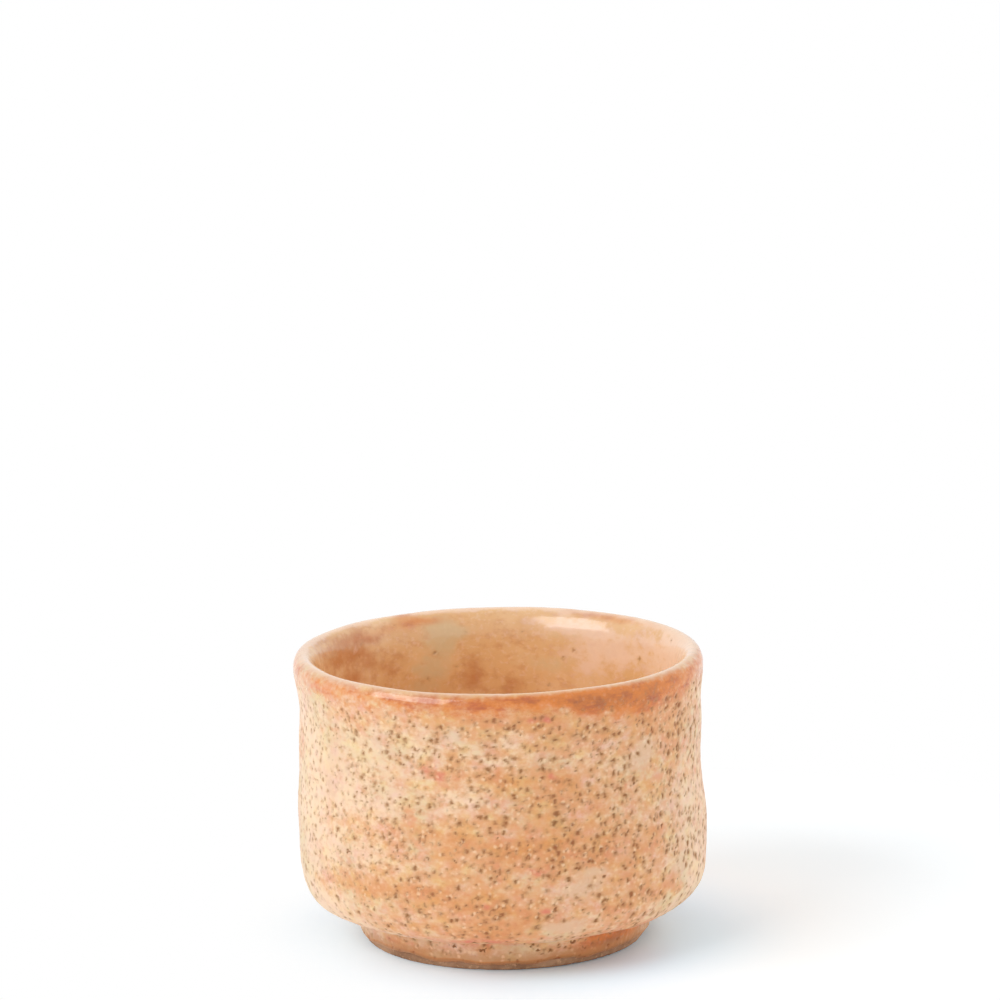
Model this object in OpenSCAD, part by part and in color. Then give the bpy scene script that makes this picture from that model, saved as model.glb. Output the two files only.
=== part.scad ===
// Guinomi sake cup: a thrown stoneware bowl on a luted foot ring, under a thick
// speckled glaze that is wiped off the standing face of the foot.
// Millimetres, +Z up, origin on the table under the middle of the cup.

/* [Lip] */
// How far the outside of the lip lies inside the belly
lip_in = 0.05; // [-1:0.05:2]
// Distance of the crest of the lip from the outside of the lip
crest_in = 1.55; // [1.4:0.05:2]
// Height of the rounding outside, from the outer edge of the lip up to its crest
lip_round_h = 2.4; // [1.6:0.1:3.2]
// Angle of the slope inside, from the wall up to the crest, measured from the upright
lip_slope = 21.5; // [18:0.5:26]
// Depth of the rust-coloured glaze band below the crest, on the outside
lip_band_h = 4.6; // [3.6:0.2:7]

/* [Wall] */
// Height from the table to the crest of the lip
cup_h = 47.2; // [42:0.2:54]
// Diameter of the belly, the widest place above the hip
belly_d = 66.1; // [63:0.1:69]
// Height of the belly above the underside of the bowl
hip_h = 10.9; // [8:0.1:15]
// How far the waist, the drawn-in place below the lip, lies inside the belly
waist_in = 0.7; // [0:0.05:2]
// Distance of the waist below the crest of the lip
waist_drop = 10.2; // [8:0.2:14]
// Thickness of the wall below the lip, clay and both glazes together
wall_t = 4.1; // [3.4:0.1:4.8]
// Squareness of the hip, where 2 is an ellipse and more is squarer
hip_power = 2.6; // [2:0.1:3.2]
// Height of the throwing rings on the wall
ring_h = 0.15; // [0:0.05:0.4]
// Distance from one throwing ring to the next
ring_pitch = 14.6; // [8:0.2:24]

/* [Floor] */
// Thickness of the floor, clay and both glazes together
floor_t = 4.4; // [2.6:0.2:8]
// Rounding between the floor and the wall inside the bowl
inner_round = 8.5; // [4:0.5:12]

/* [Foot] */
// Diameter of the clay foot where its rounded edge ends, near the table
foot_d = 45.4; // [43:0.2:47]
// Diameter of the clay foot at the bowl
foot_top_d = 47.6; // [47:0.2:50]
// Height of the glazed underside of the bowl above the table, at the foot
foot_h = 5.6; // [4.6:0.2:7]
// Thickness of the clay foot ring, just above its rounded edges
foot_t = 4.2; // [3:0.1:8]
// Rounding of the two bare edges of the foot
foot_edge_r = 0.8; // [0.4:0.1:1]

/* [Glaze] */
// Thickness of the glaze
glaze_t = 0.6; // [0.3:0.05:0.8]
// Height of the wiped glaze line above the table
glaze_line = 1.2; // [1:0.1:2]
// Radius of the glaze pooled in the crease above the foot
crease_round = 0.9; // [0.4:0.1:1.4]
// Radius of the glaze pooled in the corner of the recess
recess_round = 1.2; // [0.4:0.1:1.8]

/* [Hidden] */

// Steps round the axis, and along each stretch of the profile
$fn = 180;
hip_steps = 18;
wall_steps = 22;
band_steps = 3;
lip_steps = 8;
slope_steps = 12;
inner_steps = 16;
corner_steps = 12;
pool_steps = 6;
edge_steps = 5;

// Radii of the glazed outside
belly_r = belly_d / 2;
lip_r = belly_r - lip_in;
crest_r = lip_r - crest_in;
waist_r = belly_r - waist_in;

// Heights on the glazed outside
lip_z = cup_h - lip_round_h;
band_z = cup_h - lip_band_h;
waist_z = cup_h - waist_drop;
belly_z = foot_h + hip_h;

// Height where the slope inside the lip begins, at the top of the upright wall
slope_z = cup_h - (wall_t - crest_in) / tan(lip_slope);

// Height of the glazed floor of the bowl
floor_z = foot_h + floor_t;

// Flat bottom of the clay bowl, where the foot ring is luted on
joint_z = foot_h + glaze_t;

// Clay foot: its radii and the lean of its outside from the upright
foot_r = foot_d / 2;
foot_top_r = foot_top_d / 2;
recess_r = foot_r - foot_t;
foot_lean = atan((foot_top_r - foot_r) / (joint_z - foot_edge_r));

// Middle of the round pool of glaze in the crease, touching foot and underside
crease_z = foot_h - crease_round;
crease_r = foot_wall_r(crease_z + crease_round * sin(foot_lean))
    + glaze_t + crease_round * cos(foot_lean);

// Colours, as fired
clay_color = [0.60, 0.43, 0.31];
cream_color = [0.91, 0.75, 0.56];
hip_color = [0.89, 0.68, 0.47];
rust_color = [0.87, 0.56, 0.36];
tan_color = [0.83, 0.60, 0.40];
foot_color = [0.85, 0.66, 0.50];

// Share from 0 to 1 that leaves and arrives level
function ease(share) = (1 - cos(180 * min(max(share, 0), 1))) / 2;

// Value that runs smoothly from one level to another
function blend(start, end, share) = start + (end - start) * ease(share);

// Part of a superellipse round (r, z), from one angle to another
function sweep(r, z, half_w, half_h, start, end, steps, power = 2) =
    [for (i = [0 : steps])
        let (angle = start + (end - start) * i / steps)
        [r + half_w * bulge(cos(angle), power), z + half_h * bulge(sin(angle), power)]];
function bulge(x, power) = sign(x) * pow(abs(x), 2 / power);

// Radius of the clay foot's outside at a height
function foot_wall_r(z) = foot_r + (z - foot_edge_r) * tan(foot_lean);

// Where a height lies between the belly, 0, and the waist, 1
function wall_share(z) = min(max((z - belly_z) / (waist_z - belly_z), 0), 1);

// Swell of the throwing rings, strongest half way between belly and waist
function rings(z) = ring_h * sin(360 * (z - belly_z) / ring_pitch) * sin(180 * wall_share(z));

// Glazed outer radius of the wall: out at the belly, in at the waist, out at the lip
function wall_r(z) = z < waist_z
    ? blend(belly_r, waist_r, wall_share(z)) + rings(z)
    : blend(waist_r, lip_r, (z - waist_z) / (lip_z - waist_z));

// Points on the outside and the inside of the wall between two heights
function wall_out(start, end, steps) =
    [for (i = [0 : steps]) let (z = start + (end - start) * i / steps) [wall_r(z), z]];
function wall_in(start, end, steps) =
    [for (i = [0 : steps]) let (z = start + (end - start) * i / steps) [wall_r(z) - wall_t, z]];

// A stretch without its first point, where it goes on from the end of another
function tail(points) = [for (i = [1 : len(points) - 1]) points[i]];

// The glazed surface of the bowl, from the crease over the lip to the middle of the floor
corner_z = floor_z + inner_round;
corner_r = wall_r(corner_z) - wall_t - inner_round;
slope_w = crest_r - wall_r(slope_z) + wall_t;
hip_path =
    sweep(crease_r, belly_z, belly_r - crease_r, belly_z - foot_h, -90, 0, hip_steps, hip_power);
wall_path = wall_out(belly_z, band_z, wall_steps);
lip_path = concat(
    wall_out(band_z, lip_z, band_steps),
    tail(sweep(crest_r, lip_z, crest_in, lip_round_h, 0, 90, lip_steps)),
    tail(sweep(crest_r, slope_z, slope_w, cup_h - slope_z, 90, 180, slope_steps)));
inner_path = concat(
    wall_in(slope_z, corner_z, inner_steps),
    tail(sweep(corner_r, corner_z, inner_round, inner_round, 0, -90, corner_steps)),
    [[0, floor_z]]);
glazed = concat(hip_path, tail(wall_path), tail(lip_path), tail(inner_path));

// Places on that surface where one coat of glaze ends and the next begins
hip_end = len(hip_path) - 1;
wall_end = hip_end + len(wall_path) - 1;
lip_end = wall_end + len(lip_path) - 1;
last = len(glazed) - 1;

// Direction of the surface at a point, level at its two ends
function unit(v) = v / norm(v);
function heading(i) = i == 0 ? [1, 0] : i == last ? [-1, 0]
    : unit(unit(glazed[i] - glazed[i - 1]) + unit(glazed[i + 1] - glazed[i]));

// The clay under the glaze: the same surface, set back by the thickness of the glaze
clay = [for (i = [0 : last]) glazed[i] - glaze_t * [heading(i)[1], -heading(i)[0]]];

// Outline of one coat of glaze, out along the glazed surface and back along the clay
function coat(start, end) = concat(
    [for (i = [start : end]) glazed[i]],
    [for (i = [end : -1 : start]) clay[i]]);

module turned(points) {
    rotate_extrude()
        polygon(points);
}

// Thrown bowl, flat below where the foot is luted on
module clay_body() {
    color(clay_color)
        turned(concat([[0, joint_z]], clay));
}

// Foot ring with two rounded bare edges, flat above against the bowl
module foot_ring() {
    color(clay_color)
        turned(concat(
            [[recess_r, joint_z]],
            sweep(recess_r + foot_edge_r, foot_edge_r, foot_edge_r, foot_edge_r, 180, 270, edge_steps),
            sweep(foot_r - foot_edge_r, foot_edge_r, foot_edge_r, foot_edge_r, -90, 0, edge_steps),
            [[foot_top_r, joint_z]]));
}

// Speckled coat on the upright wall, from the belly to the band below the lip
module wall_glaze() {
    color(cream_color)
        turned(coat(hip_end, wall_end));
}

// Orange-banded coat on the hip and the underside, from the crease to the belly
module hip_glaze() {
    color(hip_color)
        turned(coat(0, hip_end));
}

// Thin rust coat over the lip
module lip_glaze() {
    color(rust_color)
        turned(coat(wall_end, lip_end));
}

// Lining of the bowl
module inner_glaze() {
    color(tan_color)
        turned(coat(lip_end, last));
}

// Coat on the outside of the foot, from the wiped line up to the pool in the crease
module foot_glaze() {
    color(foot_color)
        turned(concat(
            [[foot_wall_r(glaze_line), glaze_line], [foot_wall_r(glaze_line) + glaze_t, glaze_line]],
            sweep(crease_r, crease_z, crease_round, crease_round, 180 - foot_lean, 90, pool_steps),
            [[crease_r, joint_z], [foot_top_r, joint_z]]));
}

// Coat inside the foot ring and under the floor, with a pool in the corner
module recess_glaze() {
    wall = recess_r - glaze_t;
    color(foot_color)
        turned(concat(
            [[0, joint_z], [0, foot_h]],
            sweep(wall - recess_round, foot_h - recess_round, recess_round, recess_round, 90, 0, pool_steps),
            [[wall, glaze_line], [recess_r, glaze_line], [recess_r, joint_z]]));
}

clay_body();
foot_ring();
wall_glaze();
hip_glaze();
lip_glaze();
inner_glaze();
foot_glaze();
recess_glaze();
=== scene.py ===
"""Guinomi sake cup: pinholed cream and orange glaze over a small thrown bowl on a bare clay foot."""
import math

import bpy
import numpy as np
from mathutils import Matrix, Vector


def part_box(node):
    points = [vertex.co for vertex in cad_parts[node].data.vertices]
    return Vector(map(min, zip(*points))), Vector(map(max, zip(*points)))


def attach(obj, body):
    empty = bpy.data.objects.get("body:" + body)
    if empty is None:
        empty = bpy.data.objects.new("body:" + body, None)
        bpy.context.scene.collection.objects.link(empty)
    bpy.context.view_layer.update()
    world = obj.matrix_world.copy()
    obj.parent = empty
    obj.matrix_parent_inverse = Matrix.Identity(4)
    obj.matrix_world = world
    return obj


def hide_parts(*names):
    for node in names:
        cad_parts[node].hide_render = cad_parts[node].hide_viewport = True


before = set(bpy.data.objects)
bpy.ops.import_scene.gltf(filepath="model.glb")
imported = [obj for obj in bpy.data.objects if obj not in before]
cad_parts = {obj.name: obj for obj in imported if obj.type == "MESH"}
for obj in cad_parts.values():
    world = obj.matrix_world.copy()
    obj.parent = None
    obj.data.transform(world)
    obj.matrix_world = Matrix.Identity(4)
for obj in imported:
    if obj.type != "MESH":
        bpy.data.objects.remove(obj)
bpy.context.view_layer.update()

# Shapes are worked out in millimetres, and go into the meshes in metres
MM = 0.001


def lowest(node):
    """Lowest height of a node's solid, in millimetres."""
    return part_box(node)[0].z / MM


def highest(node):
    """Greatest height of a node's solid, in millimetres."""
    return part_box(node)[1].z / MM


def reach(node):
    """Greatest distance of a node's solid from the cup's axis, in millimetres."""
    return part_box(node)[1].x / MM


# Heights and radii that the solids give
CREST_Z = highest("lip_glaze")
BAND_Z = highest("wall_glaze")
SLOPE_Z = highest("inner_glaze")
BELLY_Z = lowest("wall_glaze")
UNDER_Z = lowest("hip_glaze")
JOINT_Z = lowest("clay_body")
GLAZE_LINE = lowest("foot_glaze")
GLAZE_T = JOINT_Z - UNDER_Z
FLOOR_Z = lowest("inner_glaze") + GLAZE_T
LIP_R = reach("lip_glaze")
BELLY_R = reach("hip_glaze")
CREASE_R = reach("foot_glaze")
FOOT_TOP_R = reach("foot_ring")
RECESS_R = reach("recess_glaze")

# The rest of the profile, as the solids have it
LIP_ROUND_H = 2.4
CREST_IN = 1.55
WAIST_IN = 0.7
WAIST_DROP = 10.2
WALL_T = 4.1
HIP_POWER = 2.6
RING_H = 0.15
RING_PITCH = 14.6
CORNER_ROUND = 8.5
FOOT_R = 22.7
FOOT_EDGE = 0.8
CREASE_ROUND = 0.9
RECESS_ROUND = 1.2

# Places that follow from these
LIP_Z = CREST_Z - LIP_ROUND_H
CREST_R = LIP_R - CREST_IN
WAIST_R = BELLY_R - WAIST_IN
WAIST_Z = CREST_Z - WAIST_DROP

# Points on each stretch of a profile before it is laid out in even steps
FINE = 500

# Columns of a coat round the cup; the azimuth is 0 towards the camera and grows to its right
COLUMNS = 880
TURN = 2 * np.pi
AZIMUTH = np.linspace(0, TURN, COLUMNS, endpoint=False)[None, :]


# Profile of the glazed surface

def ease(share):
    """Share from 0 to 1 that leaves and arrives level: half a cosine wave, held at both ends."""
    return (1 - np.cos(np.pi * np.clip(share, 0, 1))) / 2


def bell(distance):
    """Bell curve: e to the power of minus the square of the distance."""
    return np.exp(-distance ** 2)


def wall_radius(z):
    """Outer radius: belly eased to waist with a sine of throwing rings, then waist eased to lip."""
    rise = np.clip((z - BELLY_Z) / (WAIST_Z - BELLY_Z), 0, 1)
    rings = RING_H * np.sin(TURN * (z - BELLY_Z) / RING_PITCH) * np.sin(np.pi * rise)
    below = BELLY_R + (WAIST_R - BELLY_R) * ease(rise) + rings
    above = WAIST_R + (LIP_R - WAIST_R) * ease((z - WAIST_Z) / (LIP_Z - WAIST_Z))
    return np.where(z < WAIST_Z, below, above)


def inner_radius(z):
    """Inner radius of the upright wall: the outer one less the thickness of the wall."""
    return wall_radius(z) - WALL_T


def foot_radius(z):
    """Radius of the clay foot: a straight line from its rounded edge up to the bowl."""
    return FOOT_R + (z - FOOT_EDGE) * (FOOT_TOP_R - FOOT_R) / (JOINT_Z - FOOT_EDGE)


def sweep(r, z, half_w, half_h, start, end, power=2.0):
    """Points (r, z) of a superellipse: cosine and sine of an angle in degrees, raised to 2 / power."""
    angle = np.radians(np.linspace(start, end, FINE))
    across = np.sign(np.cos(angle)) * np.abs(np.cos(angle)) ** (2 / power)
    upward = np.sign(np.sin(angle)) * np.abs(np.sin(angle)) ** (2 / power)
    return np.column_stack([r + half_w * across, z + half_h * upward])


def upright(radius, start, end):
    """Points (r, z) of a wall whose radius is a function of its height."""
    z = np.linspace(start, end, FINE)
    return np.column_stack([radius(z), z])


def straight(start, end):
    """Points (r, z) on the straight line from one point to another."""
    return np.linspace(start, end, FINE)


def laid_out(stretches):
    """One path through the stretches: its points, the distance along it, and where each stretch ends."""
    points = np.concatenate([stretches[0]] + [stretch[1:] for stretch in stretches[1:]])
    steps = np.hypot(*np.diff(points, axis=0).T)
    along = np.concatenate([[0], np.cumsum(steps)])
    ends = along[np.cumsum([len(stretch) - 1 for stretch in stretches])]
    return points, along, ends


FOOT_LEAN = math.degrees(math.atan2(FOOT_TOP_R - FOOT_R, JOINT_Z - FOOT_EDGE))
CORNER_Z = FLOOR_Z + CORNER_ROUND
CORNER_R = float(inner_radius(CORNER_Z)) - CORNER_ROUND
SLOPE_W = CREST_R - float(inner_radius(SLOPE_Z))
POOL = sweep(CREASE_R, UNDER_Z - CREASE_ROUND, CREASE_ROUND, CREASE_ROUND, 180 - FOOT_LEAN, 90)
FOOT_BOTTOM = (foot_radius(GLAZE_LINE) + GLAZE_T, GLAZE_LINE)

# From the wiped glaze line up the foot, round the hip, over the lip and down to the middle of the floor
PATH, ALONG, ENDS = laid_out([
    straight(FOOT_BOTTOM, POOL[0]),
    POOL,
    sweep(CREASE_R, BELLY_Z, BELLY_R - CREASE_R, BELLY_Z - UNDER_Z, -90, 0, HIP_POWER),
    upright(wall_radius, BELLY_Z, BAND_Z),
    upright(wall_radius, BAND_Z, LIP_Z),
    sweep(CREST_R, LIP_Z, CREST_IN, CREST_Z - LIP_Z, 0, 90),
    sweep(CREST_R, SLOPE_Z, SLOPE_W, CREST_Z - SLOPE_Z, 90, 180),
    upright(inner_radius, SLOPE_Z, CORNER_Z),
    sweep(CORNER_R, CORNER_Z, CORNER_ROUND, CORNER_ROUND, 0, -90),
    straight((CORNER_R, FLOOR_Z), (0, FLOOR_Z)),
])
CREASE, BELLY, BAND, CREST, LINING, CENTRE = ENDS[[1, 2, 3, 5, 6, 9]]


# Rounding where the slope inside the lip meets the lining: its reach, and the points in each mean
SLOPE_ROUND = 2.4
MEAN_POINTS = 15


def rounded_off(points, along, place, span):
    """The path rounded off about one place: each point becomes the mean of the path within a span of it
    that is greatest there and dies away over twice that span."""
    near = span * bell((along - place) / (2 * span))
    spread = along[:, None] + near[:, None] * np.linspace(-1, 1, MEAN_POINTS)
    return np.column_stack([np.interp(spread, along, points[:, k]).mean(1) for k in (0, 1)])


PATH = rounded_off(PATH, ALONG, LINING, SLOPE_ROUND)
HEADING = np.gradient(PATH, ALONG, axis=0)
HEADING /= np.linalg.norm(HEADING, axis=1, keepdims=True)


def profile(along):
    """Radius, height and outward normal (r, z) of the glazed path at distances along it."""
    r, z = (np.interp(along, ALONG, PATH[:, k]) for k in (0, 1))
    run, rise = (np.interp(along, ALONG, HEADING[:, k]) for k in (0, 1))
    return r, z, rise, -run


# Uneven skin of the glaze

def waves(azimuth, along, recipe):
    """Smooth random field of unit spread: the sum of cosine waves of random length and direction, each
    with a whole number of crests round the cup, stretched sideways by a factor."""
    shortest, longest, count, seed, stretch = recipe
    draw = np.random.default_rng(seed)
    total = np.zeros(np.broadcast(azimuth, along).shape)
    for _ in range(count):
        length = math.exp(draw.uniform(math.log(shortest), math.log(longest)))
        slant = draw.uniform(0, TURN)
        phase = draw.uniform(0, TURN)
        crests = round(TURN * BELLY_R * math.cos(slant) / length / stretch)
        climb = TURN * math.sin(slant) / length
        total += np.cos(crests * azimuth + climb * along + phase)
    return total * math.sqrt(2 / count)


def patches(azimuth, height, rows):
    """Sum of soft ovals: strength times a bell curve of the turn and rise from each oval's middle."""
    total = np.zeros(np.broadcast(azimuth, height).shape)
    for middle, level, half_turn, half_rise, strength in rows:
        turn = (np.degrees(azimuth) - middle + 180) % 360 - 180
        total += strength * np.exp(-(turn / half_turn) ** 2 - ((height - level) / half_rise) ** 2)
    return total


def stripes(azimuth, rows):
    """Sum of soft upright stripes: strength times a bell curve of the turn from each stripe's middle."""
    ovals = [(middle, 0, half_turn, 1, strength) for middle, half_turn, strength in rows]
    return patches(azimuth, 0, ovals)


# Random fields: shortest and longest wave in millimetres, number of waves, seed, and stretch sideways
SWELL = (9, 30, 24, 11, 1.6)
SKIN = (1.2, 3.4, 70, 13, 1)
WARP = (3, 10, 30, 17, 1)
WANDER = (3, 9, 30, 19, 1.5)
STREAKS = (1.6, 9, 60, 23, 4)
LIP_CLOUDS = (6, 24, 24, 29, 1)
LINE_WAVER = (6, 30, 20, 31, 1)
RAGGED = (0.7, 1.8, 60, 37, 1)
PIT_CLOUDS = (5, 14, 24, 53, 1)
RIPPLE = (1.5, 8, 40, 61, 1)
RECESS_WAVER = (3, 12, 20, 67, 1)
RECESS_PITS = (0.9, 2, 60, 73, 1)
CLAY_GRAIN = (0.8, 2.4, 80, 83, 1)
CLAY_SWELL = (3, 9, 30, 89, 1)

# Soft ovals on the outside: azimuth, height, half width in degrees, half height in millimetres, strength
WARM_SIDES = [
    (-4, 24, 28, 60, 0.36), (30, 24, 26, 60, 0.34), (100, 24, 28, 60, 0.30), (145, 24, 30, 60, 0.36),
    (195, 24, 30, 60, 0.36), (245, 24, 30, 60, 0.26),
]
ORANGE = [
    (-8, 23.4, 24, 2.4, 0.42), (26, 21.8, 22, 2.4, 0.38), (-36, 24.6, 12, 1.8, 0.34),
    (43, 20.2, 8, 2.6, 0.42), (8, 21.6, 14, 1.6, 0.16), (-37, 15.2, 15, 2.6, 0.58),
    (-14, 14.4, 16, 3.4, 0.50), (-54, 14.2, 9, 2.0, 0.50), (42, 14.2, 12, 3.6, 0.42),
    (4, 12.2, 12, 2.0, 0.32), (31, 11.8, 6, 1.6, 0.46), (53, 12.2, 7, 1.8, 0.34),
    (-5, 8.4, 12, 2.6, 0.55), (-28, 9.4, 12, 2.6, 0.48), (32, 7.8, 8, 2.0, 0.26),
    (8, 7.0, 10, 1.0, 0.10), (17, 31.6, 8, 3.6, 0.36), (-18, 34.4, 5, 1.6, 0.50),
    (0, 34.4, 12, 1.6, 0.28), (-14, 27.0, 20, 1.8, 0.12), (56, 34.0, 12, 5.0, 0.42),
    (40, 39.4, 20, 1.8, 0.30), (46, 42.4, 16, 2.2, 0.45), (-42, 42.4, 12, 2.0, 0.36),
    # Painted light: these three pale the glaze at the far left and right sides, for sheen and light off the
    # table
    (-68, 36.0, 10, 14.0, -0.25), (-66, 8.2, 12, 2.8, -0.45), (66, 8.8, 10, 2.0, -0.30),
    (-40, 29.0, 26, 3.0, -0.14), (4, 36.8, 8, 1.8, -0.25),
    (4, 42.4, 24, 1.8, 0.34), (36, 28.0, 14, 3.0, 0.20), (62, 40.6, 12, 4.0, 0.44),
    (-46, 3.0, 14, 2.4, 0.66), (-6, 4.8, 8, 1.4, 0.20), (10, 3.0, 30, 2.4, -0.30),
    (46, 3.8, 14, 2.6, 0.66), (-43, 7.0, 9, 1.8, 0.50), (-32, 32.0, 8, 1.6, 0.16),
    (18, 7.2, 8, 1.8, -0.40), (57, 7.6, 9, 2.6, -0.40),
    (-12, 39.2, 8, 1.4, -0.20), (7, 39.2, 6, 1.4, 0.20), (34, 36.0, 12, 1.8, -0.12),
    # Painted light: paler glaze at the far right side, for light off the table
    (66, 11.0, 10, 4.0, -0.30),
    (120, 24.0, 30, 2.6, 0.40), (165, 14.6, 34, 2.3, 0.45), (205, 27.5, 24, 3.0, 0.35),
    (250, 22.5, 22, 2.4, 0.40), (100, 14.0, 20, 2.0, 0.35), (140, 36.0, 14, 3.6, 0.30),
    (185, 43.0, 30, 1.8, 0.30), (230, 15.5, 24, 2.0, 0.40), (280, 33.0, 14, 2.6, 0.30),
    (110, 43.0, 18, 2.0, 0.35), (240, 43.0, 20, 1.6, 0.30), (150, 3.0, 26, 2.4, 0.50),
    (210, 8.0, 30, 1.6, 0.45), (250, 3.0, 22, 2.2, 0.45), (90, 30.0, 14, 3.0, 0.30),
    (160, 39.0, 16, 1.6, -0.20), (-54, 39.5, 8, 3.0, 0.25), (-54, 24.0, 8, 5.0, 0.20),
    (-18, 20.0, 8, 5.0, 0.18), (18, 26.8, 6, 1.5, 0.25), (-42, 21.8, 6, 1.5, 0.20),
    (6, 19.2, 6, 1.2, 0.20), (1, 33.4, 5, 1.8, 0.30), (54, 12.0, 6, 1.6, 0.20),
]
RED = [
    (12.2, 43.1, 2.8, 0.65, 1.5), (10, 18.8, 3.0, 0.7, 0.8), (-5, 13.5, 2.6, 0.7, 0.8),
    (12, 12.3, 3.0, 0.6, 0.8), (-18.5, 34.2, 5.0, 1.9, 0.9), (-3, 7.2, 12, 1.2, 0.5),
    (15, 33.5, 1.8, 0.9, 0.6), (37, 31.0, 1.6, 0.8, 0.6), (14, 30.2, 4.0, 0.8, 0.4),
    (-27, 26.3, 4.5, 1.5, 0.45), (48, 44.2, 17, 2.6, 0.24), (60, 36.0, 8, 3.0, 0.3),
    (-45, 3.0, 14, 1.4, 0.5), (-60, 45.4, 10, 1.2, 0.4), (-34, 44.6, 6, 1.0, 0.3),
    (-38, 41.8, 8, 1.4, 0.3),
    (8, 24.6, 3.0, 0.8, 0.4), (30, 38.6, 2.0, 0.7, 0.4), (-12, 5.7, 17, 1.3, 0.95),
    (130, 18.0, 4, 0.6, 0.6), (170, 31.0, 3, 0.6, 0.5), (215, 12.0, 4, 0.6, 0.6),
    (255, 36.0, 3, 0.5, 0.5), (190, 43.0, 4, 0.5, 0.5),
]
# Rust where the glaze is thinner on the foot; the strong oval on its right is also painted shade
FOOT_RUST_AND_SHADE = [
    (48, 3.4, 17, 3.0, 1.50), (-50, 2.2, 12, 1.2, 0.45), (24, 2.2, 16, 0.9, 0.30),
    (150, 2.6, 24, 1.6, 0.70), (240, 2.4, 24, 1.2, 0.50),
]
# Places with a smooth, pale skin and few pits
SMOOTH = [
    (44.5, 35.2, 5.5, 2.0, 1.1), (27, 18.2, 6, 1.3, 0.95), (16, 9.3, 9, 1.5, 1.1),
    (-8, 39.4, 3, 1.3, 0.8), (58, 15.6, 4, 2.0, 0.9), (-50, 29.5, 8, 1.4, 0.5),
    (20, 15.4, 9, 1.3, 0.95), (-9, 3.2, 10, 1.6, 0.6), (135, 29.5, 7, 1.8, 1.0),
    (200, 18.0, 8, 1.8, 1.0), (240, 38.0, 6, 1.6, 0.9), (175, 10.0, 10, 1.6, 0.9),
    (100, 20.0, 7, 1.8, 0.8), (275, 17.0, 7, 1.6, 0.8),
]
# Ridges and hollows left by the thrower's fingers, with their swell in millimetres
FINGER_MARKS = [
    (78, 36.6, 24, 2.4, 0.28), (80, 30.4, 22, 2.6, -0.20), (76, 24.0, 26, 3.2, 0.06),
    (74, 10.5, 28, 2.4, 0.24), (-80, 45.0, 26, 2.4, 0.14), (-82, 39.4, 24, 2.6, -0.12),
    (-78, 29.0, 26, 3.0, 0.08), (-10, 26.0, 30, 2.4, 0.12), (-6, 38.0, 26, 2.4, -0.10),
    (20, 20.0, 24, 2.0, -0.10), (150, 33.0, 40, 2.6, 0.18), (200, 22.0, 40, 3.0, -0.16),
]
# Soft ovals on the inside: clouded pale, run to brown, painted light and painted highlights in peach where
# the key lamp falls, and rusty under the lip
PALE_LINING = [
    (197, 42.0, 8, 3.2, 0.85), (206, 37.2, 9, 3.2, 0.75), (200, 44.6, 10, 2.6, 0.5),
    (160, 38.0, 12, 4.0, 0.4), (20, 36.0, 16, 6.0, 0.8), (300, 30.0, 22, 6.0, 0.7),
    (80, 24.0, 20, 5.0, 0.6), (230, 20.0, 26, 5.0, 0.6),
]
BROWN_LINING = [
    (218, 39.0, 6, 2.2, 0.5), (190, 37.0, 7, 3.0, 0.85), (240, 42.5, 22, 6.0, 0.75),
    (174, 35.6, 8, 2.4, 0.5), (266, 44.0, 20, 3.0, 0.45), (0, 28.0, 20, 5.0, 0.6),
    (100, 33.0, 18, 4.0, 0.5), (320, 42.0, 18, 3.0, 0.6),
]
LINING_PAINTED_LIGHT = [
    (142, 41.0, 18, 5.0, 0.9), (106, 43.0, 18, 5.0, 1.0), (157, 44.8, 13, 1.6, 0.7),
    (96, 45.8, 14, 2.0, 0.9),
]
RUSTY_LINING = [
    (206, 46.0, 11, 1.0, 0.62), (142, 46.7, 20, 0.6, 0.5), (226, 45.2, 14, 1.2, 0.3),
    (60, 46.2, 24, 0.9, 0.5), (300, 46.0, 24, 0.9, 0.5),
]
# Large single pits: azimuth in degrees, then height, half width, half height and depth in millimetres, as
# cones whose points are cut off
BURST_PITS = [
    (-19.5, 4.1, 0.55, 0.4, 0.20), (-8.5, 3.8, 1.0, 0.35, 0.20), (10, 4.2, 0.4, 0.35, 0.20),
    (12.5, 3.5, 0.5, 0.35, 0.20), (26.5, 4.3, 0.9, 0.4, 0.20), (-47.5, 20.0, 1.0, 0.35, 0.16),
    (40, 30.9, 0.4, 0.4, 0.18), (49.5, 23.0, 0.42, 0.42, 0.18), (28.5, 16.9, 0.5, 0.4, 0.16),
    (20.5, 18.8, 0.5, 0.45, 0.18), (14, 12.6, 0.4, 0.42, 0.18), (170, 22.0, 0.9, 0.4, 0.18),
    (205, 34.0, 0.5, 0.5, 0.18), (150, 9.0, 0.6, 0.4, 0.18),
]

# Soft stripes up the outside: azimuth and half width in degrees, and strength. They are rust round the lip,
# how much lower it reaches, how much farther up pits reach, the side where pits are fainter, and where the
# crest's pale glaze and painted highlight are weaker
RUSTY_LIP = [
    (14, 26, 0.74), (26, 9, 0.24), (46, 15, 0.42), (-24, 12, 0.15), (105, 30, 0.30), (170, 30, 0.20),
    (240, 30, 0.25),
]
DEEPER_RUST = [(48, 22, 2.2), (8, 16, -1.0)]
PITTED_LIP = [(46, 30, 2.0), (-48, 24, 1.0)]
FAINT_PITS = [(-60, 40, 0.30)]
DULL_CREST = [(72, 20, 0.4), (-10, 60, 0.4)]

# Relief in millimetres: slow swell, fine skin, depth and raised rim of a pit, and the farthest in and out
SWELL_H = 0.07
SKIN_H = 0.016
PIT_DEPTH = 0.12
PIT_RIM = 0.02
RELIEF_LIMITS = (-0.42, 0.45)
# Where on the cone of a pit its rim lies, and half the rim's width there
RIM_AT = 0.08
RIM_HALF = 0.1
# How much calmer swell and skin are in the gloss, and the radius on the floor within which they die away
CALMED = 0.6
STILL_R = 9
# Length over which gloss comes in, from the lower edge of the lip's band
GLOSS_FADE = 3

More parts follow.
